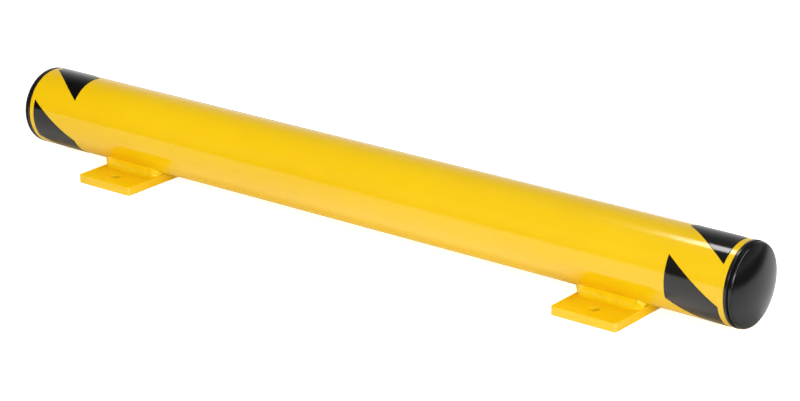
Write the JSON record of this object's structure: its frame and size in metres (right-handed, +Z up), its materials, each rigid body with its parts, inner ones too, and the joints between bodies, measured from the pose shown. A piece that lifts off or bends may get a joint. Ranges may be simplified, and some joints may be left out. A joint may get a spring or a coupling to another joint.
{
  "type": "steel safety bollard",
  "caption": "Horizontal floor-mounted pipe bollard: yellow steel pipe welded along drilled base plates, slanted black hazard stripes and domed black end caps",
  "frame": {"origin": "on the floor under the middle of the pipe, level with the undersides of both base plates", "axes": "+X along the pipe towards the right end as seen in the picture, +Y away from the front, +Z up"},
  "size_m": [1.26, 0.184, 0.1279],
  "materials": {
    "pipe_coat": "gloss yellow powder coat",
    "plate_coat": "gloss yellow powder coat",
    "weld_coat": "gloss yellow powder coat over a rippled bead",
    "cap_rubber": "satin moulded black",
    "stripe_vinyl": "gloss black vinyl"
  },
  "bodies": {
    "root": {"pipe": "pipe_coat", "left_base_plate": "plate_coat", "right_base_plate": "plate_coat", "left_front_weld": "weld_coat", "left_rear_weld": "weld_coat", "right_front_weld": "weld_coat", "right_rear_weld": "weld_coat", "left_end_cap": "cap_rubber", "right_end_cap": "cap_rubber", "left_hazard_stripe_1": "stripe_vinyl", "left_hazard_stripe_2": "stripe_vinyl", "left_hazard_stripe_3": "stripe_vinyl", "right_hazard_stripe_1": "stripe_vinyl", "right_hazard_stripe_2": "stripe_vinyl", "right_hazard_stripe_3": "stripe_vinyl"}
  },
  "joints": []
}
